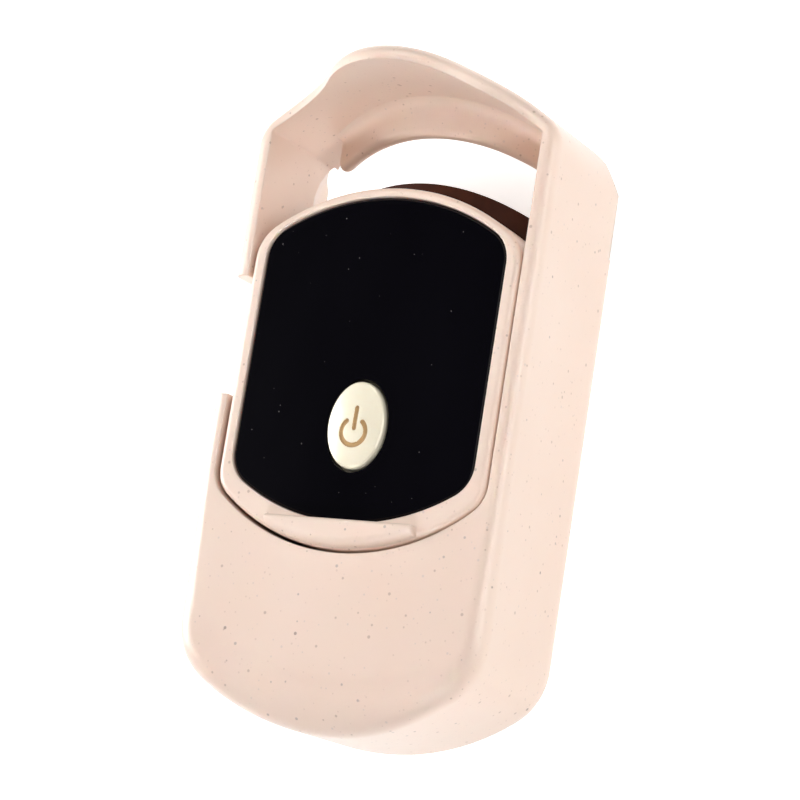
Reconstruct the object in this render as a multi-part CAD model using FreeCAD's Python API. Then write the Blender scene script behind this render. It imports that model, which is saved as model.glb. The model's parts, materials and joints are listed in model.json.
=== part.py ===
import FreeCAD, Part
import math
import os

os.makedirs("parts", exist_ok=True)
V = FreeCAD.Vector

# Pocket heated eyelash curler, millimetres.
# X is the width, Y runs along the length towards the arch, Z comes out of the front face.
# The origin is under the middle of the case, on the flat back face.

# ---- driving dimensions ---------------------------------------------------------------
HALF_W = 18.7        # case, outer half width
WALL = 1.9           # case wall
OPEN_W = HALF_W - WALL
DEPTH = 19.9         # back face to front rim
Y_TOP = 37.25        # crown of the arch, outside
Y_BOT = -36.5       # foot of the rounded bottom
ROOF_R = 28.4        # plan radius of the arch
ROOF_C = 3.8         # shoulder radius at the front rim
ROOF_C_BACK = 7.0    # shoulder radius at the back, so the shoulder falls away
BOT_R = 27.0         # radius of the rounded bottom
BOT_C = 7.5          # bottom corner radius
RIM_R = 1.4          # rounding of the front rim beside the opening
ROLL_R = 2.2         # edge rounding round the bottom
NOSE_R = 9.0         # the front dips towards the bottom in this radius
NOSE_Y = -29.4       # where that dip starts
BACK_R = 3.4         # rounding of the back edges
VISOR = 7.9          # forward reach of the visor at its crown
VISOR_W = 16.6       # half width of the visor band
BLEND_Y = -8.0       # above this the rim rounding is RIM_R, below it grows to ROLL_R

SLOT_BOT = -17.3     # lowest point of the front opening
EYE_Z = -10.3        # axis of the eye curve, behind the back face
EYE_R = 24.2         # front radius of the jaw
JAW_T = 1.8          # jaw thickness
JAW_Y = 31.2         # working edge of the jaw, at the middle
JAW_HW = 13.5        # jaw half width
BITE_R = 28.0        # plan radius of the jaw edge and of the pad top
EYE_CUT_Y = 20.6     # lower limit of the eye side window

TRAVEL = 5.5         # thumb slide travel
PAD_Y = JAW_Y - TRAVEL - 0.1
BEZ_HW = 16.4        # slider half width
BEZ_BACK = 14.5      # back face of the slider bezel
PANEL_Z = 18.2       # seat of the black panel
PANEL_T = 1.55       # black panel thickness
BTN_Y = -3.35        # centre of the power button
BTN_A = 3.4          # button half width
BTN_B = 4.8          # button half height
PORT_Y = 5.2         # centre of the charging port
LEDGE_Z = 21.2       # front of the thumb ledge
PCB_Z = 10.6         # underside of the circuit board
PCB_T = 1.0
RAIL_Z = 6.0         # underside of the guide rails
RAIL_H = 1.6
SPRING_X = 5.2       # return springs
SPRING_Z = 8.45
SCREW_X = 10.0       # back cover screws
SCREW_Y = -25.6
PEG_X = 6.0          # pegs that locate the jaw in the roof


# ---- helpers ---------------------------------------------------------------------------
def arc(a, m, b):
    return Part.Arc(a, m, b).toShape()


def corner(hw, y_mid, r, c, side):
    """Corner that joins a straight side to an end arc: arc point, middle, side point."""
    cy = y_mid + side * math.sqrt((r - c) ** 2 - (hw - c) ** 2)
    centre = V(hw - c, cy, 0)
    d = (centre - V(0, y_mid, 0)).normalize()
    on_arc = V(0, y_mid, 0) + d * r
    half = (d + V(1, 0, 0)).normalize()
    return on_arc, centre + half * c, V(hw, cy, 0)


def flip(p):
    return V(-p.x, p.y, p.z)


def shield_wire(hw, y_top, r_top, c_top, y_bot, r_bot, c_bot, z=0.0):
    """Straight sides, arched top and bottom, four rounded corners."""
    ta, tm, ts = corner(hw, y_top - r_top, r_top, c_top, 1)
    ba, bm, bs = corner(hw, y_bot + r_bot, r_bot, c_bot, -1)
    edges = [
        arc(flip(ta), V(0, y_top, 0), ta),
        arc(ta, tm, ts),
        Part.makeLine(ts, bs),
        arc(bs, bm, ba),
        arc(ba, V(0, y_bot, 0), flip(ba)),
        arc(flip(ba), flip(bm), flip(bs)),
        Part.makeLine(flip(bs), flip(ts)),
        arc(flip(ts), flip(tm), flip(ta)),
    ]
    wire = Part.Wire(edges)
    wire.translate(V(0, 0, z))
    return wire


def shield(hw, y_top, r_top, c_top, y_bot, r_bot, c_bot, z0, z1):
    wire = shield_wire(hw, y_top, r_top, c_top, y_bot, r_bot, c_bot, z0)
    return Part.Face(wire).extrude(V(0, 0, z1 - z0))


def box(x0, x1, y0, y1, z0, z1):
    return Part.makeBox(x1 - x0, y1 - y0, z1 - z0, V(x0, y0, z0))


def soft_box(x0, x1, y0, y1, z0, z1, r):
    """Box whose four upright edges are rounded."""
    b = box(x0, x1, y0, y1, z0, z1)
    upright = [e for e in b.Edges if abs(e.Vertexes[0].Z - e.Vertexes[1].Z) > 0.5 * (z1 - z0)]
    return b.makeFillet(r, upright)


def edges_at_z(shape, z):
    return [e for e in shape.Edges if all(abs(v.Z - z) < 1e-6 for v in e.Vertexes)]


def oval(a, b, y, z0, z1):
    """Upright elliptical prism, half width a, half height b."""
    ellipse = Part.Ellipse(V(0, 0, 0), max(a, b), min(a, b))
    wire = Part.Wire([ellipse.toShape()])
    if b > a:
        wire.rotate(V(0, 0, 0), V(0, 0, 1), 90)
    wire.translate(V(0, y, z0))
    return Part.Face(wire).extrude(V(0, 0, z1 - z0))


def curved_wall(r0, r1, hw, y0, y1):
    """Wall that follows the eye curve between two radii, as wide as 2 hw."""
    outer = Part.makeCylinder(r1, y1 - y0, V(0, y0, EYE_Z), V(0, 1, 0))
    inner = Part.makeCylinder(r0, y1 - y0 + 2, V(0, y0 - 1, EYE_Z), V(0, 1, 0))
    keep = box(-hw, hw, y0, y1, 0.5, 40)
    return outer.cut(inner).common(keep)


def bite_disc(y_crown, z0, z1):
    """Cylinder whose top follows the bite line."""
    return Part.makeCylinder(BITE_R, z1 - z0, V(0, y_crown - BITE_R, z0), V(0, 0, 1))


def cyl(x, y, z, r, h, d=V(0, 0, 1)):
    return Part.makeCylinder(r, h, V(x, y, z), d)


def fuse(shapes):
    out = shapes[0]
    for s in shapes[1:]:
        out = out.fuse(s)
    return out.removeSplitter()


def save(name, shape):
    shape.exportStep("parts/" + name + ".step")
    ok = shape.isValid()
    n = len(shape.Solids)
    print(name, "solids", n, "valid", ok, "volume", round(shape.Volume, 2))


# ---- case ------------------------------------------------------------------------------
def upper_case():
    """Upper part of the case before it is hollowed: shoulders fall away to the back."""
    tall = 32.0
    lean = (ROOF_C_BACK - ROOF_C) / DEPTH
    front = shield_wire(HALF_W, Y_TOP, ROOF_R, ROOF_C_BACK - lean * tall, Y_BOT, BOT_R, BOT_C, tall)
    back = shield_wire(HALF_W, Y_TOP, ROOF_R, ROOF_C_BACK, Y_BOT, BOT_R, BOT_C, 0)
    body = Part.makeLoft([back, front], True, True)
    body = body.common(Part.Face(case_section(BLEND_Y, 0.0)).extrude(V(0, 60, 0)))
    body = body.cut(visor_front())
    rim = []
    for e in body.Edges:
        p = e.valueAt((e.FirstParameter + e.LastParameter) / 2)
        outside = abs(p.x) > HALF_W - 0.01 or math.hypot(p.x, p.y - Y_TOP + ROOF_R) > ROOF_R - 0.8
        across = abs(e.tangentAt(e.FirstParameter).z) < 0.8 and p.y > BLEND_Y + 0.1
        if p.z > DEPTH - 0.01 and outside and across:
            rim.append(e)
    return body.makeFillet(RIM_R, rim)


def case_section(y, rim):
    """Cross section of the case: rounded back corners, and front corners when rim > 0."""
    w = HALF_W
    r = BACK_R
    k = r * (1 - math.sqrt(0.5))
    top = DEPTH if rim else 40
    q = rim * (1 - math.sqrt(0.5))
    edges = [
        Part.makeLine(V(-w + r, y, 0), V(w - r, y, 0)),
        arc(V(w - r, y, 0), V(w - k, y, k), V(w, y, r)),
        Part.makeLine(V(w, y, r), V(w, y, top - rim)),
    ]
    if rim:
        edges.append(arc(V(w, y, top - rim), V(w - q, y, top - q), V(w - rim, y, top)))
    edges.append(Part.makeLine(V(w - rim, y, top), V(-w + rim, y, top)))
    if rim:
        edges.append(arc(V(-w + rim, y, top), V(-w + q, y, top - q), V(-w, y, top - rim)))
    edges.append(Part.makeLine(V(-w, y, top - rim), V(-w, y, r)))
    edges.append(arc(V(-w, y, r), V(-w + k, y, k), V(-w + r, y, 0)))
    return Part.Wire(edges)


def middle_case():
    """Between the straight sides the front rounding grows from RIM_R to ROLL_R."""
    side_end = corner(HALF_W, Y_BOT + BOT_R, BOT_R, BOT_C, -1)[2].y
    low = case_section(side_end, ROLL_R)
    high = case_section(BLEND_Y, RIM_R)
    return Part.makeLoft([low, high], True, True)


def lower_case():
    """Rounded bottom: the front dips towards it, its edges are rounded, the back more so."""
    side_end = corner(HALF_W, Y_BOT + BOT_R, BOT_R, BOT_C, -1)[2].y
    body = shield(HALF_W, 0, 60, 2, Y_BOT, BOT_R, BOT_C, 0, DEPTH)
    body = body.common(box(-30, 30, -60, side_end, -1, 60))
    body = body.common(nose_profile())
    front = [e for e in body.Edges if front_edge(e, side_end)]
    body = body.makeFillet(ROLL_R, front)
    back = [e for e in edges_at_z(body, 0) if e.BoundBox.YMin < side_end - 0.1]
    return body.makeFillet(BACK_R, back)


def front_edge(e, side_end):
    """True for the edges that run round the front of the bottom."""
    low = e.BoundBox.ZMin > DEPTH - 8 and e.BoundBox.YMin < side_end - 0.1
    mid = e.valueAt((e.FirstParameter + e.LastParameter) / 2)
    inside = abs(mid.x) < 1.0 and e.BoundBox.YLength < 0.01 and mid.y > NOSE_Y - 0.1
    upright = e.BoundBox.XLength < 0.01 and e.BoundBox.YLength < 0.01
    return low and not inside and not upright


def nose_profile():
    """Side profile of the case, flat and then dipping in one tangent arc."""
    drop = 8.0
    turn = math.acos(1 - drop / NOSE_R)
    def at(t):
        return V(-30, NOSE_Y - NOSE_R * math.sin(t), DEPTH - NOSE_R * (1 - math.cos(t)))
    end = at(turn)
    wire = Part.Wire([
        Part.makeLine(V(-30, 10, -1), V(-30, 10, DEPTH)),
        Part.makeLine(V(-30, 10, DEPTH), V(-30, NOSE_Y, DEPTH)),
        arc(V(-30, NOSE_Y, DEPTH), at(turn / 2), end),
        Part.makeLine(end, V(-30, end.y, -1)),
        Part.makeLine(V(-30, end.y, -1), V(-30, 10, -1)),
    ])
    return Part.Face(wire).extrude(V(60, 0, 0))


def visor_front():
    """Everything in front of the case: two tangent arcs a side shape the visor."""
    w = VISOR_W
    r = (w * w + VISOR * VISOR) / (4 * VISOR)
    y = BLEND_Y - 1
    z = DEPTH + VISOR
    turn = math.asin(w / 2 / r) / 2
    dx = r * math.sin(turn)
    dz = r * (1 - math.cos(turn))
    wire = Part.Wire([
        Part.makeLine(V(-30, y, DEPTH), V(-w, y, DEPTH)),
        arc(V(-w, y, DEPTH), V(-w + dx, y, DEPTH + dz), V(-w / 2, y, DEPTH + VISOR / 2)),
        arc(V(-w / 2, y, DEPTH + VISOR / 2), V(0, y, z), V(w / 2, y, DEPTH + VISOR / 2)),
        arc(V(w / 2, y, DEPTH + VISOR / 2), V(w - dx, y, DEPTH + dz), V(w, y, DEPTH)),
        Part.makeLine(V(w, y, DEPTH), V(30, y, DEPTH)),
        Part.makeLine(V(30, y, DEPTH), V(30, y, 50)),
        Part.makeLine(V(30, y, 50), V(-30, y, 50)),
        Part.makeLine(V(-30, y, 50), V(-30, y, DEPTH)),
    ])
    return Part.Face(wire).extrude(V(0, 60, 0))


def eye_cut():
    """Hollow that takes the eyelid behind the jaw."""
    r = EYE_R - JAW_T
    c = Part.makeCylinder(r, 40, V(0, EYE_CUT_Y, EYE_Z), V(0, 1, 0))
    slab = box(-20, 20, EYE_CUT_Y, 45, -5, 2.5)
    return c.fuse(slab)


def flare_wire(sx, y, z_in):
    """Section behind the side wall: the inner corner falls away to the outside in an arc."""
    a = V(sx * 16.6, y, z_in)
    b = V(sx * 17.85, y, (z_in + 1.9) / 2 + 0.7)
    c = V(sx * 18.72, y, 1.9)
    foot = V(sx * 16.6, y, 1.9)
    return Part.Wire([arc(a, b, c), Part.makeLine(c, foot), Part.makeLine(foot, a)])


def rear_flare(sx):
    """The rear rim of each side wall is flared in the eye window and runs out at the roof."""
    steps = [(EYE_CUT_Y, 9.0), (25.4, 9.0), (27.4, 8.2), (29.2, 6.6), (31.2, 4.2)]
    wires = [flare_wire(sx, y, z) for y, z in steps]
    return Part.makeLoft(wires, True, True)


def frame_shell():
    body = upper_case().fuse(middle_case()).fuse(lower_case()).removeSplitter()
    slot = shield(OPEN_W, Y_TOP - WALL, ROOF_R - 0.1, 0.4, SLOT_BOT, 24.5, 3.9, 2.4, 45)
    body = body.cut(slot)
    pocket = shield(15.0, -14, 60, 2, -33.2, 24, 5, 2.4, 16.8)
    body = body.cut(pocket)
    body = body.cut(eye_cut())
    for sx in (-1, 1):
        body = body.cut(rear_flare(sx))
    recess = shield(13.35, 19.0, 80, 2, -31.0, 24, 4, -1, 1.25)
    inner = shield(11.8, 17.4, 80, 2, -24.0, 40, 4, -1, 3)
    body = body.cut(recess).cut(inner)
    notch = box(-22, -14, -0.6, 12.9, 10.0, 40)
    nose = [e for e in notch.Edges if abs(e.BoundBox.ZMax - 10.0) < 1e-3 and e.BoundBox.XLength > 5]
    notch = notch.makeFillet(3.0, nose)
    body = body.cut(notch)
    for sx in (-1, 1):
        body = body.fuse(cyl(sx * SCREW_X, SCREW_Y, 1.25, 2.0, 16.0))
        body = body.cut(cyl(sx * SCREW_X, SCREW_Y, 0.5, 0.8, 8))
        body = body.fuse(box(sx * 13.2 - 1.6, sx * 13.2 + 1.6, -21.5, -19.6, 2.2, 17.2))
        body = body.cut(cyl(sx * PEG_X, 33.0, peg_z(), 0.6, 3.0, V(0, 1, 0)))
    return body


def peg_z():
    """Middle of the jaw's thickness at the pegs."""
    return EYE_Z + math.sqrt((EYE_R - JAW_T / 2) ** 2 - PEG_X ** 2)


def jaw_corner(e):
    """True for the short edges through the jaw at its two lower corners."""
    across = all(abs(abs(v.X) - JAW_HW) < 1e-3 for v in e.Vertexes)
    short = e.BoundBox.YLength < 0.5 and e.BoundBox.ZLength > 0.5
    return across and short and e.CenterOfMass.y < 30


def upper_jaw():
    r1 = EYE_R
    r0 = EYE_R - JAW_T
    wall = curved_wall(r0, r1, JAW_HW, 24, 45)
    roof = Part.makeCylinder(ROOF_R - 0.12, 40, V(0, Y_TOP - WALL - ROOF_R + 0.1, 0), V(0, 0, 1))
    wall = wall.common(roof)
    wall = wall.cut(bite_disc(JAW_Y, 0, 40))
    low = [e for e in wall.Edges if jaw_corner(e)]
    wall = wall.makeFillet(1.4, low)
    pegs = [cyl(sx * PEG_X, 33.6, peg_z(), 0.55, 2.3, V(0, 1, 0)) for sx in (-1, 1)]
    return fuse([wall] + pegs)


def back_cover():
    plate = shield(13.2, 18.9, 80, 2, -30.85, 24, 4, 0, 1.15)
    for sx in (-1, 1):
        plate = plate.cut(cyl(sx * SCREW_X, SCREW_Y, -1, 0.95, 4))
        plate = plate.cut(Part.makeCone(2.05, 0.95, 1.0, V(sx * SCREW_X, SCREW_Y, -0.02), V(0, 0, 1)))
    for sx in (-1, 1):
        hook = box(sx * 8 - 2, sx * 8 + 2, 15.2, 16.7, 1.0, 2.3)
        plate = plate.fuse(hook)
    return plate.removeSplitter()


def case_screws():
    out = []
    for sx in (-1, 1):
        x = sx * SCREW_X
        y = SCREW_Y
        head = Part.makeCone(1.85, 0.8, 0.9, V(x, y, 0.08), V(0, 0, 1))
        shank = cyl(x, y, 0.9, 0.74, 6.6)
        screw = head.fuse(shank).removeSplitter()
        slot = box(x - 1.1, x + 1.1, y - 0.16, y + 0.16, 0, 0.5)
        cross = box(x - 0.16, x + 0.16, y - 1.1, y + 1.1, 0, 0.5)
        out.append(screw.cut(slot).cut(cross))
    return Part.makeCompound(out)


def guide_rail(sx):
    x0, x1 = sorted((sx * OPEN_W, sx * (OPEN_W - 1.2)))
    rail = box(x0, x1, -8.5, 13.5, RAIL_Z, RAIL_Z + RAIL_H)
    tip = [e for e in rail.Edges if abs(e.CenterOfMass.x - sx * (OPEN_W - 1.2)) < 1e-3 and e.BoundBox.ZLength > 1]
    return rail.makeFillet(0.5, tip)


def spring_posts():
    out = []
    for sx in (-1, 1):
        x = sx * SPRING_X
        pin = cyl(x, -31.35, 2.4, 0.9, 7.4)
        groove = cyl(x, -31.35, 8.1, 1.2, 0.7).cut(cyl(x, -31.35, 8.0, 0.65, 1.0))
        out.append(pin.cut(groove))
    return Part.makeCompound(out)


def return_springs():
    """Close wound extension springs: the turns touch, so each body is one scalloped sleeve."""
    out = []
    wire_r = 0.25
    turns = 19
    y0 = -30.3
    for sx in (-1, 1):
        x = sx * SPRING_X
        profile = [Part.makeLine(V(0.95, y0, 0), V(1.35, y0, 0))]
        for i in range(turns):
            ya = y0 + 2 * wire_r * i
            mid = V(1.35 + wire_r, ya + wire_r, 0)
            profile.append(arc(V(1.35, ya, 0), mid, V(1.35, ya + 2 * wire_r, 0)))
        y1 = y0 + 2 * wire_r * turns
        profile.append(Part.makeLine(V(1.35, y1, 0), V(0.95, y1, 0)))
        profile.append(Part.makeLine(V(0.95, y1, 0), V(0.95, y0, 0)))
        sleeve = Part.Face(Part.Wire(profile)).revolve(V(0, 0, 0), V(0, 1, 0), 360)
        sleeve.translate(V(x, 0, SPRING_Z))
        low = Part.makeTorus(0.95, 0.22, V(x, y0 - 1.05, SPRING_Z), V(0, 0, 1))
        high = Part.makeTorus(0.95, 0.22, V(x, y1 + 0.75, SPRING_Z), V(1, 0, 0))
        bar = box(x - 1.1, x + 1.1, y1 - 0.3, y1 + 0.05, SPRING_Z - 0.22, SPRING_Z + 0.22)
        foot = box(x - 1.1, x + 1.1, y0 - 0.05, y0 + 0.3, SPRING_Z - 0.22, SPRING_Z + 0.22)
        out.append(sleeve.fuse(low).fuse(high).fuse(bar).fuse(foot))
    return Part.makeCompound(out)


def stop_bumpers():
    out = []
    for sx in (-1, 1):
        pad = soft_box(sx * 13.0 - 1.5, sx * 13.0 + 1.5, -19.6, -18.3, 6.0, 12.0, 0.4)
        out.append(pad)
    return Part.makeCompound(out)


# ---- slider ----------------------------------------------------------------------------
def thumb_ledge():
    """Straight upper edge, lower edge along the slider's foot, front sloping back to it."""
    disc = cyl(0, -16.95 + 24.1, 17.5, 23.9, LEDGE_Z - 17.5)
    ledge = disc.common(box(-9.0, 9.2, -20, -13.8, 17, 30))
    foot = [e for e in edges_at_z(ledge, LEDGE_Z) if e.BoundBox.YMin < -16]
    ledge = ledge.makeFillet(1.1, foot)
    square = [e for e in ledge.Edges if min(e.BoundBox.XLength, e.BoundBox.YLength) < 0.01]
    ledge = ledge.makeFillet(0.3, [e for e in square if e.BoundBox.ZMax > 20])
    return ledge


def slider_bezel():
    ring = shield(BEZ_HW, 23.4, 24.9, 4.9, -16.95, 24.1, 3.6, BEZ_BACK, DEPTH)
    ring = ring.makeFillet(0.7, edges_at_z(ring, DEPTH))
    seat = shield(14.9, 22.3, 24.6, 4.0, -14.0, 24.7, 4.0, PANEL_Z, 30)
    ring = ring.cut(seat)
    hollow = shield(13.8, 17.0, 60, 3.0, -12.6, 40, 4.0, 10, 40)
    ring = ring.cut(hollow)
    base = thumb_ledge().cut(box(-12, 12, -14.02, -13, 17, PANEL_Z + PANEL_T + 0.1))
    return fuse([ring, base])


def slider_housing():
    tub = shield(BEZ_HW, 18.2, 60, 3.0, -16.95, 24.1, 3.6, 2.8, BEZ_BACK)
    tub = tub.makeFillet(1.2, edges_at_z(tub, 2.8))
    inside = shield(13.8, 16.6, 60, 2.0, -14.6, 24.0, 3.0, 4.0, 30)
    tub = tub.cut(inside)
    tub = tub.cut(curved_wall(EYE_R - 1.5, EYE_R - 0.4, 7.15, 15, 20))
    for sx in (-1, 1):
        x0, x1 = sorted((sx * 15.2, sx * 20.0))
        tub = tub.cut(box(x0, x1, -30, 30, RAIL_Z - 0.2, RAIL_Z + RAIL_H + 0.2))
        x = sx * SPRING_X
        eye = cyl(x, -19.1, SPRING_Z - 0.25, 1.1, 0.5).fuse(box(x - 0.7, x + 0.7, -19.0, -16.0, 8.2, 8.7))
        tub = tub.fuse(eye.cut(cyl(x, -19.1, 8, 0.55, 1)))
    tub = tub.cut(box(-20, -12, PORT_Y - 4.7, PORT_Y + 4.7, PCB_Z + PCB_T - 0.1, BEZ_BACK + 1))
    return tub.removeSplitter()


def front_panel():
    plate = shield(14.8, 22.2, 24.6, 3.9, -13.9, 24.7, 3.9, PANEL_Z, PANEL_Z + PANEL_T)
    plate = plate.makeChamfer(0.25, edges_at_z(plate, PANEL_Z + PANEL_T))
    return plate.cut(oval(BTN_A + 0.35, BTN_B + 0.35, BTN_Y, PANEL_Z - 1, 30))


def power_button():
    cap = oval(BTN_A, BTN_B, BTN_Y, PANEL_Z - 0.9, PANEL_Z + PANEL_T + 0.75)
    cap = cap.makeFillet(0.5, edges_at_z(cap, PANEL_Z + PANEL_T + 0.75))
    flange = oval(BTN_A + 0.9, BTN_B + 0.9, BTN_Y, PANEL_Z - 0.9, PANEL_Z - 0.2)
    stem = cyl(0, BTN_Y, PANEL_Z - 2.2, 1.2, 2.0)
    return fuse([cap, flange, stem])


def lash_pad():
    pad = curved_wall(EYE_R - 2.2, EYE_R + 0.3, 13.6, 20.2, 30)
    pad = pad.common(bite_disc(PAD_Y, 0, 40))
    slot = curved_wall(EYE_R - 1.45, EYE_R - 0.45, 12.6, 15, 30)
    return pad.cut(slot.common(bite_disc(PAD_Y - 1.2, 0, 40)))


def heater_plate():
    plate = curved_wall(EYE_R - 1.4, EYE_R - 0.5, 12.5, 18.3, 30)
    tongue = curved_wall(EYE_R - 1.4, EYE_R - 0.5, 7.0, 14.2, 19.0)
    return plate.fuse(tongue).common(bite_disc(PAD_Y - 1.25, 0, 40)).removeSplitter()


def pad_carrier():
    bar = curved_wall(EYE_R - 2.6, EYE_R + 0.2, 14.0, 18.25, 20.15)
    return bar.cut(curved_wall(EYE_R - 1.45, EYE_R - 0.45, 12.6, 15, 30))


def heater_element():
    return curved_wall(EYE_R - 2.2, EYE_R - 1.42, 5.0, 13.9, 16.2)


def thermistor():
    return Part.makeSphere(0.62, V(0, 13.5, 12.95))


def circuit_board():
    board = shield(13.5, 12.6, 60, 2.0, -14.3, 24.0, 3.0, PCB_Z, PCB_Z + PCB_T)
    for sx in (-1, 1):
        board = board.cut(cyl(sx * 11.4, -9.6, 0, 0.9, 20))
    return board


def slider_screws():
    out = []
    for sx in (-1, 1):
        head = cyl(sx * 11.4, -9.6, PCB_Z + PCB_T + 0.02, 1.5, 0.8)
        shank = cyl(sx * 11.4, -9.6, 5.6, 0.7, PCB_Z + PCB_T - 5.4)
        out.append(head.fuse(shank).removeSplitter())
    return Part.makeCompound(out)


def board_posts():
    out = []
    for sx in (-1, 1):
        tube = cyl(sx * 11.4, -9.6, 4.02, 1.6, PCB_Z - 4.06)
        out.append(tube.cut(cyl(sx * 11.4, -9.6, 5.2, 0.75, 20)))
    return Part.makeCompound(out)


def control_chip():
    body = box(4.4, 8.4, 4.0, 8.0, PCB_Z + PCB_T + 0.02, PCB_Z + PCB_T + 0.95)
    return body.makeChamfer(0.12, edges_at_z(body, PCB_Z + PCB_T + 0.95))


def tact_switch():
    z = PCB_Z + PCB_T + 0.02
    body = soft_box(-3.0, 3.0, BTN_Y - 3.0, BTN_Y + 3.0, z, z + 2.4, 0.3)
    return body.fuse(cyl(0, BTN_Y, z + 2.4, 1.4, 0.9)).removeSplitter()


def indicator_led():
    z = PCB_Z + PCB_T + 0.02
    body = box(-0.8, 0.8, 3.4, 4.6, z, z + 0.5)
    return body.fuse(Part.makeSphere(0.5, V(0, 4.0, z + 0.5)).common(box(-1, 1, 3, 5, z + 0.4, z + 2)))


def usb_socket():
    z = PCB_Z + PCB_T + 0.02
    w = 4.47
    shell = box(-15.9, -8.9, PORT_Y - w, PORT_Y + w, z, z + 2.7)
    long_edges = [e for e in shell.Edges if e.BoundBox.XLength > 5]
    shell = shell.makeFillet(1.2, long_edges)
    bore = box(-17, -10.0, PORT_Y - w + 0.3, PORT_Y + w - 0.3, z + 0.3, z + 2.4)
    bore = bore.makeFillet(0.95, [e for e in bore.Edges if e.BoundBox.XLength > 5])
    tongue = box(-15.0, -9.5, PORT_Y - 3.3, PORT_Y + 3.3, z + 1.0, z + 1.7)
    return shell.cut(bore).fuse(tongue).removeSplitter()


def battery_cell():
    cell = box(-9.5, 9.3, -11.5, 12.5, 4.3, 9.9)
    return cell.makeFillet(1.2, [e for e in cell.Edges if e.BoundBox.YLength > 20])


def battery_tape():
    return box(-8.0, 8.0, -8.0, 9.0, 4.02, 4.28)


def lead(points, r):
    """Round wire along straight runs joined by tangent arcs."""
    edges = []
    start = points[0]
    for i in range(1, len(points) - 1):
        a, b, c = points[i - 1], points[i], points[i + 1]
        u = (a - b).normalize()
        w = (c - b).normalize()
        half = math.acos(max(-1.0, min(1.0, u.dot(w)))) / 2
        run = 0.45 * min((a - b).Length, (c - b).Length)
        rad = run * math.tan(half)
        p = b + u * run
        q = b + w * run
        bis = (u + w).normalize()
        centre = b + bis * (rad / math.sin(half))
        edges.append(Part.makeLine(start, p))
        edges.append(arc(p, centre - bis * rad, q))
        start = q
    edges.append(Part.makeLine(start, points[-1]))
    path = Part.Wire(edges)
    d = (points[1] - points[0]).normalize()
    ring = Part.Wire([Part.makeCircle(r, points[0], d)])
    return path.makePipeShell([ring], True, False)


def battery_leads():
    out = []
    for y in (-4.2, -6.0):
        pts = [V(9.32, y, 7.4), V(12.5, y, 7.5), V(12.7, y - 0.1, 9.2), V(11.4, y, 10.3)]
        out.append(lead(pts, 0.35))
    return Part.makeCompound(out)


def heater_leads():
    out = []
    for sx in (-1, 1):
        pts = [V(sx * 3.4, 9.4, 11.99), V(sx * 3.4, 11.6, 12.4), V(sx * 3.4, 13.82, 12.0)]
        out.append(lead(pts, 0.33))
    return Part.makeCompound(out)


NODES = {
    "frame_shell": frame_shell,
    "upper_jaw": upper_jaw,
    "back_cover": back_cover,
    "case_screws": case_screws,
    "guide_rail_left": lambda: guide_rail(-1),
    "guide_rail_right": lambda: guide_rail(1),
    "spring_posts": spring_posts,
    "return_springs": return_springs,
    "stop_bumpers": stop_bumpers,
    "slider_bezel": slider_bezel,
    "slider_housing": slider_housing,
    "front_panel": front_panel,
    "power_button": power_button,
    "lash_pad": lash_pad,
    "heater_plate": heater_plate,
    "pad_carrier": pad_carrier,
    "heater_element": heater_element,
    "thermistor": thermistor,
    "circuit_board": circuit_board,
    "slider_screws": slider_screws,
    "board_posts": board_posts,
    "control_chip": control_chip,
    "tact_switch": tact_switch,
    "indicator_led": indicator_led,
    "usb_socket": usb_socket,
    "battery_cell": battery_cell,
    "battery_tape": battery_tape,
    "battery_leads": battery_leads,
    "heater_leads": heater_leads,
}

for node, make in NODES.items():
    save(node, make())
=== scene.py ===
import json
import math
import bpy
import bmesh
from mathutils import Matrix, Vector


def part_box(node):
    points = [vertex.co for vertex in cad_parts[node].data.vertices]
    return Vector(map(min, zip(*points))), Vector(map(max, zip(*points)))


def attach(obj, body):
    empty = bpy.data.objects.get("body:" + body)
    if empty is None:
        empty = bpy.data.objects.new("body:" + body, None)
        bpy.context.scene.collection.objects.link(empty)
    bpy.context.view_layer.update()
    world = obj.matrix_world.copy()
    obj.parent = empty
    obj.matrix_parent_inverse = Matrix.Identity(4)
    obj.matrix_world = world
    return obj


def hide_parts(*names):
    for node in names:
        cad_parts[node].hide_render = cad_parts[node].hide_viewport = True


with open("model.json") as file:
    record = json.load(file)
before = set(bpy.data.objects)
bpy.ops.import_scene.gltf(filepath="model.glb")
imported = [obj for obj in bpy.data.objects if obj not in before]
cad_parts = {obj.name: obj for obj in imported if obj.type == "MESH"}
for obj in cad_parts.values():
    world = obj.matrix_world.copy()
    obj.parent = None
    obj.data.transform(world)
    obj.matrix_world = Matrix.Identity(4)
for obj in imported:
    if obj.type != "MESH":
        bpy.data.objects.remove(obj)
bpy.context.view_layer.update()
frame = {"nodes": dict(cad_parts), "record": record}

MM = 0.001
NODES = frame["nodes"]

# sockets of the Mix node that carry colour
MIX_A, MIX_B, MIX_OUT = 6, 7, 2


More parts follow.
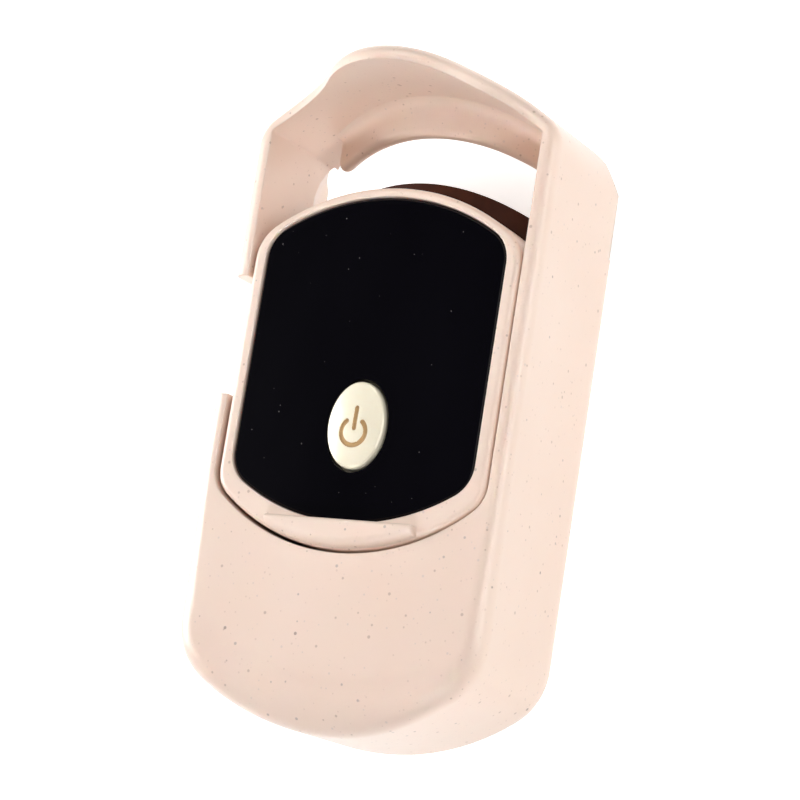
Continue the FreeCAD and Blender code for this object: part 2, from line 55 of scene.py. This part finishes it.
# ---- node helpers ------------------------------------------------------------------------
class Mat:
    """A material with a short way to add and link nodes."""

    def __init__(self, name):
        self.m = bpy.data.materials.new(name)
        self.m.use_nodes = True
        self.t = self.m.node_tree
        self.t.nodes.clear()
        self.out = self.t.nodes.new("ShaderNodeOutputMaterial")
        self.b = self.t.nodes.new("ShaderNodeBsdfPrincipled")
        self.link(self.b, "BSDF", self.out, "Surface")
        self.co = self.t.nodes.new("ShaderNodeTexCoord")

    def new(self, kind, **props):
        n = self.t.nodes.new("ShaderNode" + kind)
        for k, v in props.items():
            setattr(n, k, v)
        return n

    def link(self, a, out, b, inp):
        self.t.links.new(a.outputs[out], b.inputs[inp])

    def set(self, **values):
        for k, v in values.items():
            self.b.inputs[k.replace("_", " ")].default_value = v

    def scaled(self, sx, sy, sz):
        n = self.new("Mapping")
        n.inputs["Scale"].default_value = (sx, sy, sz)
        self.link(self.co, "Object", n, "Vector")
        return n

    def noise(self, scale, detail, rough, mapping=None):
        """Noise over the object's own coordinates, or over a mapping of them."""
        n = self.new("TexNoise")
        n.inputs["Scale"].default_value = scale
        n.inputs["Detail"].default_value = detail
        n.inputs["Roughness"].default_value = rough
        if mapping:
            self.link(mapping, "Vector", n, "Vector")
        else:
            self.link(self.co, "Object", n, "Vector")
        return n

    def ramp(self, src, out, lo, hi, a=0.0, b=1.0):
        """Carry lo to hi over to a to b, clamped."""
        n = self.new("MapRange", clamp=True)
        n.inputs["From Min"].default_value = lo
        n.inputs["From Max"].default_value = hi
        n.inputs["To Min"].default_value = a
        n.inputs["To Max"].default_value = b
        self.link(src, out, n, "Value")
        return n

    def math(self, op, a, b=None, value=None):
        n = self.new("Math", operation=op)
        self.link(a[0], a[1], n, 0)
        if b:
            self.link(b[0], b[1], n, 1)
        elif value is not None:
            n.inputs[1].default_value = value
        return n

    def mix(self, fac, a, b):
        """Mix two colours by fac's Result; a is a colour or an earlier mix, b is a colour."""
        n = self.new("Mix", data_type="RGBA")
        self.link(fac, "Result", n, 0)
        if isinstance(a, tuple):
            n.inputs[MIX_A].default_value = (*a, 1.0)
        else:
            self.link(a, MIX_OUT, n, MIX_A)
        n.inputs[MIX_B].default_value = (*b, 1.0)
        return n

    def colour(self, mixed):
        self.link(mixed, MIX_OUT, self.b, "Base Color")

    def roughness(self, src, lo, hi, a, b):
        self.link(self.ramp(src, "Fac", lo, hi, a, b), "Result", self.b, "Roughness")

    def specks(self, scale, radius, share, strength):
        """Mask of round specks, in that share of the cells of a Voronoi pattern."""
        v = self.new("TexVoronoi", feature="F1")
        v.inputs["Scale"].default_value = scale
        v.inputs["Randomness"].default_value = 1.0
        self.link(self.co, "Object", v, "Vector")
        sep = self.new("SeparateColor")
        self.link(v, "Color", sep, "Color")
        size = self.ramp(sep, "Green", 0.0, 1.0, radius * 0.45, radius)
        inside = self.math("SUBTRACT", (size, "Result"), (v, "Distance"))
        edge = self.ramp(inside, "Value", 0.0, radius * 0.35)
        pick = self.math("LESS_THAN", (sep, "Red"), value=share)
        mask = self.math("MULTIPLY", (edge, "Result"), (pick, "Value"))
        return self.ramp(mask, "Value", 0.0, 1.0, 0.0, strength)

    def bump(self, src, out, strength, distance):
        n = self.new("Bump")
        n.inputs["Strength"].default_value = strength
        n.inputs["Distance"].default_value = distance
        self.link(src, out, n, "Height")
        self.link(n, "Normal", self.b, "Normal")
        return n


def speckled(name, base, deep, rough):
    """Bran-filled plastic: pale pink with sparse small brown and grey dots."""
    k = Mat(name)
    col = k.mix(k.ramp(k.noise(55, 3, 0.55), "Fac", 0.35, 0.68), base, deep)
    # scale, radius, share of the cells, strength, colour
    dots = (
        (1100, 0.17, 0.90, 0.30, (0.50, 0.34, 0.27)),
        (900, 0.16, 0.80, 0.30, (0.45, 0.40, 0.40)),
        (620, 0.14, 0.95, 0.50, (0.36, 0.22, 0.15)),
        (430, 0.095, 0.95, 0.50, (0.26, 0.20, 0.19)),
        (270, 0.065, 1.00, 0.65, (0.20, 0.12, 0.09)),
    )
    for scale, radius, share, strength, dot in dots:
        col = k.mix(k.specks(scale, radius, share, strength), col, dot)
    k.colour(col)
    k.roughness(k.noise(260, 4, 0.6), 0.3, 0.7, rough, rough + 0.035)
    wave = k.noise(180, 3, 0.5)
    fine = k.noise(2600, 2, 0.5)
    both = k.math("MULTIPLY_ADD", (fine, "Fac"), value=0.12)
    k.link(wave, "Fac", both, 2)
    grain = k.bump(both, "Value", 0.16, 0.00010)
    soft_edges = k.new("Bevel", samples=4)
    soft_edges.inputs["Radius"].default_value = 0.28 * MM
    k.link(soft_edges, "Normal", grain, "Normal")
    k.set(IOR=1.50, Coat_Weight=0.20, Coat_Roughness=0.16)
    k.set(Subsurface_Weight=0.12, Subsurface_Scale=1.5 * MM, Subsurface_Radius=(1.0, 0.5, 0.3))
    return k.m


def gloss_black():
    """Black gloss panel with a faint uneven polish and a little dust."""
    k = Mat("panel_gloss_black")
    smear = k.noise(34, 4, 0.6, k.scaled(1.0, 0.4, 1.0))
    tone = k.ramp(smear, "Fac", 0.35, 0.7)
    col = k.mix(tone, (0.0005, 0.0003, 0.0014), (0.0009, 0.0006, 0.0022))
    dust = k.specks(900, 0.10, 0.30, 0.30)
    k.colour(k.mix(dust, col, (0.30, 0.28, 0.28)))
    k.roughness(smear, 0.3, 0.75, 0.15, 0.22)
    k.bump(k.noise(90, 2, 0.4), "Fac", 0.04, 0.0002)
    k.set(IOR=1.27)
    return k.m


def metal(name, a, b, lo, hi, grain=(1, 1, 1), bump=0.1, scale=900):
    """Bare metal: tones a to b, roughness lo to hi, grain stretched along an axis."""
    k = Mat(name)
    g = k.noise(scale, 4, 0.6, k.scaled(*grain))
    k.colour(k.mix(k.ramp(g, "Fac", 0.3, 0.7), a, b))
    k.roughness(g, 0.3, 0.7, lo, hi)
    k.bump(g, "Fac", bump, 0.00003)
    k.set(Metallic=1.0)
    return k.m


def satin_gold(name, a, b):
    """Pale gold plating over a soft matte base."""
    k = Mat(name)
    g = k.noise(600, 4, 0.6, k.scaled(1, 3, 1))
    k.colour(k.mix(k.ramp(g, "Fac", 0.3, 0.7), a, b))
    k.roughness(g, 0.3, 0.7, 0.32, 0.36)
    k.bump(g, "Fac", 0.03, 0.00001)
    k.set(Metallic=0.20, Coat_Weight=0.3, Coat_Roughness=0.12)
    return k.m


def plain(name, a, b, lo, hi, scale=500, bump=0.15, dist=0.00005, ior=1.5):
    """Moulded or rubbery stuff: two close tones, uneven roughness, fine grain."""
    k = Mat(name)
    g = k.noise(scale, 4, 0.6)
    col = k.mix(k.ramp(g, "Fac", 0.3, 0.7), a, b)
    lighter = tuple(min(1.0, c * 2.2 + 0.04) for c in b)
    k.colour(k.mix(k.specks(scale * 2.2, 0.10, 0.05, 0.25), col, lighter))
    k.roughness(g, 0.3, 0.7, lo, hi)
    k.bump(k.noise(scale * 3, 3, 0.6), "Fac", bump, dist)
    k.set(IOR=ior)
    return k.m


MATS = {
    "case_pink": speckled(
        "case_speckled_pink", (0.855, 0.680, 0.575), (0.835, 0.650, 0.540), 0.30),
    "slider_pink": speckled(
        "slider_speckled_pink", (0.865, 0.690, 0.585), (0.845, 0.660, 0.550), 0.30),
    "panel_black": gloss_black(),
    "button_gold": satin_gold("button_pale_gold", (1.0, 0.93, 0.74), (1.0, 0.91, 0.70)),
    "screw_steel": metal(
        "screw_steel", (0.62, 0.62, 0.64), (0.48, 0.48, 0.50), 0.25, 0.42),
    "spring_steel": metal(
        "spring_steel", (0.58, 0.58, 0.60), (0.42, 0.42, 0.45), 0.25, 0.4),
    "socket_steel": metal(
        "socket_steel", (0.70, 0.70, 0.71), (0.58, 0.58, 0.60), 0.22, 0.36, (8, 1, 1), 0.08),
    "heater_aluminium": metal(
        "heater_aluminium", (0.72, 0.72, 0.74), (0.60, 0.60, 0.62), 0.3, 0.45, (1, 8, 1)),
    "battery_foil": metal(
        "battery_foil", (0.70, 0.70, 0.72), (0.60, 0.60, 0.63), 0.28, 0.5,
        bump=0.25, scale=240),
    "pad_brown": plain(
        "pad_dark_silicone", (0.036, 0.007, 0.001), (0.058, 0.012, 0.002), 0.38, 0.55,
        scale=420, bump=0.25, dist=0.00006, ior=1.30),
    "carrier_dark": plain(
        "carrier_dark_plastic", (0.035, 0.018, 0.012), (0.05, 0.028, 0.02), 0.45, 0.6),
    "rail_white": plain("rail_acetal", (0.78, 0.75, 0.70), (0.70, 0.67, 0.62), 0.35, 0.5),
    "soft_rubber": plain(
        "stop_rubber", (0.02, 0.02, 0.02), (0.035, 0.035, 0.035), 0.6, 0.8),
    "heater_ceramic": plain(
        "heater_ceramic", (0.70, 0.67, 0.60), (0.62, 0.58, 0.52), 0.5, 0.7),
    "board_green": plain(
        "board_mask", (0.012, 0.10, 0.035), (0.02, 0.15, 0.055), 0.28, 0.42, scale=300),
    "chip_black": plain(
        "chip_epoxy", (0.012, 0.012, 0.013), (0.022, 0.022, 0.024), 0.45, 0.62),
    "led_white": plain("led_lens", (0.80, 0.82, 0.85), (0.72, 0.74, 0.78), 0.1, 0.2),
    "tape_white": plain("foam_tape", (0.75, 0.75, 0.70), (0.66, 0.66, 0.62), 0.7, 0.9),
    "lead_red": plain("lead_red", (0.42, 0.02, 0.015), (0.34, 0.015, 0.01), 0.35, 0.5),
    "lead_white": plain("lead_white", (0.75, 0.75, 0.74), (0.66, 0.66, 0.64), 0.35, 0.5),
}

# Darker gold for the faces inside the cut power mark: painted shade in the groove.
MARK_GROOVE_SHADE_GOLD = satin_gold("button_mark_painted_shade_gold", (0.62, 0.40, 0.18), (0.52, 0.32, 0.14))

for sub in frame["record"]["subparts"]:
    ob = NODES[sub["node"]]
    ob.data.materials.clear()
    ob.data.materials.append(MATS[sub["material_slot"]])


# ---- shaped pieces -----------------------------------------------------------------------
def mesh_piece(name, verts, faces, body, node, slot):
    """A mesh in the row frame, in millimetres, that stands for one CAD node."""
    me = bpy.data.meshes.new(name)
    me.from_pydata([tuple(c * MM for c in v) for v in verts], [], faces)
    bm = bmesh.new()
    bm.from_mesh(me)
    bmesh.ops.remove_doubles(bm, verts=bm.verts, dist=1e-7)
    bmesh.ops.recalc_face_normals(bm, faces=bm.faces)
    bm.to_mesh(me)
    bm.free()
    me.polygons.foreach_set("use_smooth", [True] * len(me.polygons))
    me.set_sharp_from_angle(angle=math.radians(50))
    ob = bpy.data.objects.new(name, me)
    bpy.context.collection.objects.link(ob)
    me.materials.append(MATS[slot])
    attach(ob, body)
    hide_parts(node)
    return ob


def join_rings(count, n):
    """Faces that join `count` closed rings of n points in order."""
    faces = []
    for i in range(count - 1):
        for j in range(n):
            k = (j + 1) % n
            faces.append((i * n + j, i * n + k, (i + 1) * n + k, (i + 1) * n + j))
    return faces


# The jaw is a curved bar under the arch, bowed about a line that runs along Y. Its lower
# edge and the roof that it hangs from are both arcs seen from the front.
JAW_BOW_Z = -10.3
JAW_IN, JAW_OUT = 22.4, 24.2
JAW_BITE_R, JAW_BITE_Y = 28.0, 3.2
JAW_ROOF_R, JAW_ROOF_Y = 28.30, 7.05
JAW_INTO_ROOF = 0.07
JAW_COVE = 1.7
JAW_STEPS = 96
JAW_ARC_STEPS = 12


def quarter(t):
    """Rise of a quarter circle from 0 to 1 as t runs from 0 to 1."""
    return math.sqrt(max(0.0, 1.0 - (1.0 - min(t, 1.0)) ** 2))


def jaw_ring(a, from_end):
    """Cross-section at angle a, at that distance along the bar from its nearer end."""
    end_lift = 1.0 - quarter(from_end)
    cove = max(0.1 * JAW_COVE, JAW_COVE * quarter(from_end / JAW_COVE))
    half = (JAW_OUT - JAW_IN) / 2
    ring = []

    def low(r, dy):
        x = r * math.sin(a)
        y = JAW_BITE_Y + math.sqrt(JAW_BITE_R ** 2 - x * x) + end_lift + dy
        ring.append((x, y, JAW_BOW_Z + r * math.cos(a)))

    def high(r, dy):
        x = r * math.sin(a)
        y = JAW_ROOF_Y + math.sqrt(JAW_ROOF_R ** 2 - x * x) + dy
        ring.append((x, y, JAW_BOW_Z + r * math.cos(a)))

    high(JAW_IN, JAW_INTO_ROOF)
    for j in range(JAW_ARC_STEPS + 1):
        q = math.pi * j / JAW_ARC_STEPS
        low(JAW_IN + half - half * math.cos(q), half - half * math.sin(q))
    for j in range(JAW_ARC_STEPS + 1):
        q = math.pi / 2 * j / JAW_ARC_STEPS
        high(JAW_OUT + cove - cove * math.cos(q), 0.015 - cove + cove * math.sin(q))
    high(JAW_OUT + cove + 0.5, JAW_INTO_ROOF)
    return ring


def jaw():
    """Bar with a fully rounded lower edge and a cove where it meets the roof."""
    end = math.asin(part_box("upper_jaw")[1].x / MM / JAW_OUT)
    rings = []
    for i in range(JAW_STEPS + 1):
        a = -end * math.cos(math.pi * i / JAW_STEPS)
        rings.append(jaw_ring(a, (end - abs(a)) * JAW_OUT))
    n = len(rings[0])
    verts = [p for ring in rings for p in ring]
    faces = join_rings(len(rings), n)
    last = (len(rings) - 1) * n
    faces.append(tuple(range(n - 1, -1, -1)))
    faces.append(tuple(range(last, last + n)))
    return mesh_piece("upper_jaw_shaped", verts, faces, "case", "upper_jaw", "case_pink")


MARK_Y, MARK_R = -4.15, 1.47
MARK_GAP = math.radians(40)
BAR_X, BAR_LOW, BAR_TOP = 0.05, -3.75, -1.55
CUT_HALF_W, CUT_EDGE, CUT_DEPTH = 0.30, 0.13, 0.22


def mark(x, y):
    """How deep the power mark is cut here, 0 to 1: a ring open at the top and a bar."""
    dy = y - MARK_Y
    if abs(math.atan2(x, dy)) > MARK_GAP:
        d = abs(math.hypot(x, dy) - MARK_R)
    else:
        end_x, end_y = MARK_R * math.sin(MARK_GAP), MARK_R * math.cos(MARK_GAP)
        d = math.hypot(abs(x) - end_x, dy - end_y)
    on_bar = min(max(y, BAR_LOW), BAR_TOP)
    d = min(d, math.hypot(x - BAR_X, y - on_bar))
    f = min(max((CUT_HALF_W - d) / CUT_EDGE, 0.0), 1.0)
    return f * f * (3 - 2 * f)


CAP_POINTS, CAP_ROWS = 288, 110
CAP_ROUND = 0.34
CAP_DOME = 0.26
FLANGE = 0.9
STEM_R = 1.2


def button():
    """Domed oval cap with a rounded rim and the cut power mark, its flange and its stem."""
    lo, hi = (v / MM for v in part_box("power_button"))
    cy = (lo.y + hi.y) / 2
    a = hi.x - FLANGE
    b = (hi.y - lo.y) / 2 - FLANGE
    edge = hi.z - CAP_DOME
    verts = []

    def face_z(x, y):
        t = math.hypot(x / (a - CAP_ROUND), (y - cy) / (b - CAP_ROUND))
        return hi.z - CAP_DOME * min(t, 1.0) ** 2.2 - CUT_DEPTH * mark(x, y)

    def ring(half_x, half_y, z=None):
        """An oval at height z, or on the domed face where no height is given."""
        for j in range(CAP_POINTS):
            q = 2 * math.pi * j / CAP_POINTS
            x = half_x * math.cos(q)
            y = cy + half_y * math.sin(q)
            verts.append((x, y, face_z(x, y) if z is None else z))

    for i in range(1, CAP_ROWS + 1):
        f = (i / CAP_ROWS) ** 0.8
        ring((a - CAP_ROUND) * f, (b - CAP_ROUND) * f)
    for j in range(1, 9):
        q = math.pi / 2 * j / 8
        inset = CAP_ROUND * (1 - math.sin(q))
        ring(a - inset, b - inset, edge - CAP_ROUND * (1 - math.cos(q)))
    ring(a, b, lo.z + 2.0)
    ring(a + FLANGE, b + FLANGE, lo.z + 2.0)
    ring(a + FLANGE, b + FLANGE, lo.z + 1.3)
    ring(STEM_R, STEM_R, lo.z + 1.3)
    ring(STEM_R, STEM_R, lo.z)

    faces = join_rings(len(verts) // CAP_POINTS, CAP_POINTS)
    centre = len(verts)
    faces += [(j, (j + 1) % CAP_POINTS, centre) for j in range(CAP_POINTS)]
    faces.append(tuple(range(centre - CAP_POINTS, centre)))
    verts.append((0.0, cy, face_z(0.0, cy)))
    ob = mesh_piece("power_button_cap", verts, faces, "button", "power_button", "button_gold")
    # Faces inside the cut mark get the darker gold, which is painted shade in the groove.
    ob.data.materials.append(MARK_GROOVE_SHADE_GOLD)
    for f in ob.data.polygons:
        c = f.center / MM
        if c.z > edge - 0.3 and mark(c.x, c.y) > 0.25:
            f.material_index = 1
    return ob


jaw()
button()


# ---- floor, light and camera -------------------------------------------------------------
def floor():
    """Plain white floor, a tenth of a millimetre under the case so they never coincide."""
    bm = bmesh.new()
    bmesh.ops.create_grid(bm, x_segments=8, y_segments=8, size=3.0)
    me = bpy.data.meshes.new("floor")
    bm.to_mesh(me)
    bm.free()
    ob = bpy.data.objects.new("floor", me)
    ob.location.z = -0.1 * MM
    bpy.context.collection.objects.link(ob)
    k = Mat("floor_white")
    tone = k.ramp(k.noise(3, 3, 0.5), "Fac", 0.3, 0.7)
    k.colour(k.mix(tone, (0.93, 0.93, 0.93), (0.95, 0.95, 0.95)))
    k.set(Roughness=0.8, Emission_Strength=0.5, Emission_Color=(1, 1, 1, 1))
    ob.data.materials.append(k.m)


def area(name, where, w, h, power, aim=(0, 0, 0.01)):
    """A white rectangular light at `where`, w by h metres, that faces `aim`."""
    data = bpy.data.lights.new(name, "AREA")
    data.shape = "RECTANGLE"
    data.size = w
    data.size_y = h
    data.energy = power
    ob = bpy.data.objects.new(name, data)
    bpy.context.collection.objects.link(ob)
    ob.location = where
    ob.rotation_euler = (Vector(aim) - Vector(where)).to_track_quat("-Z", "Y").to_euler()
    return ob


CAMERA_AT = Vector((0.15654, -0.06041, 0.29255))
CAMERA_AIM = Vector((0.00456, -0.00023, 0.0195))
CAMERA_ROLL = math.radians(9.05)
CAMERA_LENS = 134.1


def camera():
    """Long lens in front of the object, a little to its right and below, rolled."""
    data = bpy.data.cameras.new("camera")
    data.sensor_width = 36.0
    data.lens = CAMERA_LENS
    data.clip_start = 0.01
    data.clip_end = 50.0
    ob = bpy.data.objects.new("camera", data)
    bpy.context.collection.objects.link(ob)
    ahead = (CAMERA_AIM - CAMERA_AT).normalized()
    side = ahead.cross(Vector((0, 1, 0))).normalized()
    up = side.cross(ahead)
    right = side * math.cos(CAMERA_ROLL) + up * math.sin(CAMERA_ROLL)
    top = up * math.cos(CAMERA_ROLL) - side * math.sin(CAMERA_ROLL)
    m = Matrix((right, top, -ahead)).transposed().to_4x4()
    m.translation = CAMERA_AT
    ob.matrix_world = m
    bpy.context.scene.camera = ob


def lights():
    """Soft studio light: large panels all round and a narrow beam on the arch's underside."""
    world = bpy.data.worlds.new("studio")
    bpy.context.scene.world = world
    world.use_nodes = True
    bg = world.node_tree.nodes["Background"]
    bg.inputs["Color"].default_value = (1, 1, 1, 1)
    bg.inputs["Strength"].default_value = 0.10
    area("key_right", (0.60, 0.05, 0.42), 0.45, 0.6, 2.9)
    area("left_low", (-0.68, 0.0, 0.14), 0.25, 0.7, 4.8)
    area("left_soft", (-0.75, 0.15, 0.42), 0.25, 0.6, 2.2)
    area("top_soft", (-0.05, 0.60, 0.70), 0.5, 0.4, 1.9)
    lift = area("roof_lift", (0.02, -0.50, 0.42), 0.05, 0.05, 0.012, aim=(0, 0.036, 0.020))
    lift.data.spread = math.radians(14)
    area("front_fill", (0.05, -0.70, 0.50), 0.7, 0.4, 0.7)


floor()
lights()
camera()
bpy.context.scene.view_settings.view_transform = "Standard"
bpy.context.scene.view_settings.look = "None"
